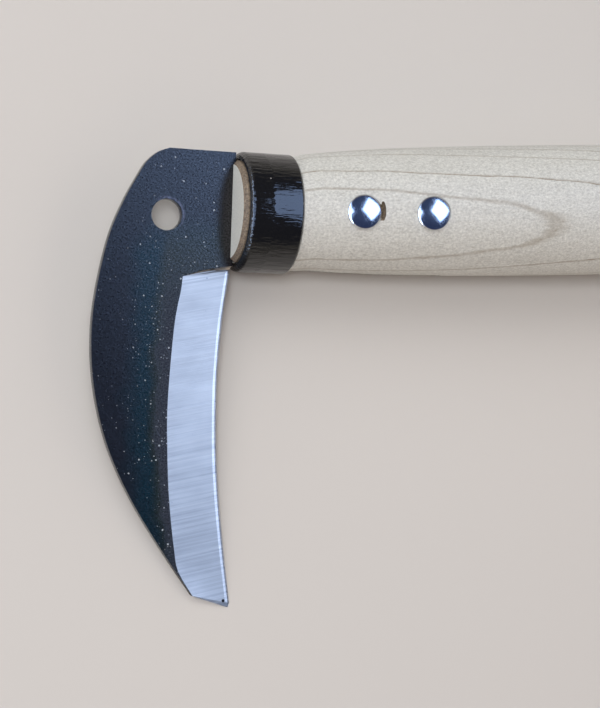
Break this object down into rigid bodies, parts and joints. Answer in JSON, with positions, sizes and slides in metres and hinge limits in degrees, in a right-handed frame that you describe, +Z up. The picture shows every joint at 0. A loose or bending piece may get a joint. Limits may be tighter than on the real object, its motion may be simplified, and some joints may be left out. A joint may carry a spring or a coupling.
{
  "type": "hand sickle",
  "caption": "Small one-hand sickle: flat single-bevel curved blade with a hanging hole, riveted by its tang into a slit round wooden handle behind a steel ferrule.",
  "frame": {"origin": "bottom centre of the bounding box, with the sickle lying on its side on its blade tip and the under rivet caps", "axes": "+X along the handle from the blade towards the butt, -Y towards the blade's tip, +Z up, away from the surface it lies on"},
  "size_m": [0.1862, 0.1138, 0.0375],
  "materials": {
    "blade_steel": "black oxide over forged steel, with the bevel ground bright",
    "ferrule_paint": "gloss black",
    "handle_wood": "unvarnished, smooth turned",
    "rivet_plate": "bright nickel plate"
  },
  "bodies": {
    "root": {"blade": "blade_steel", "ferrule": "ferrule_paint", "handle": "handle_wood", "rivet_sleeve_front": "rivet_plate", "rivet_sleeve_rear": "rivet_plate", "rivet_post_front": "rivet_plate", "rivet_post_rear": "rivet_plate"}
  },
  "joints": []
}
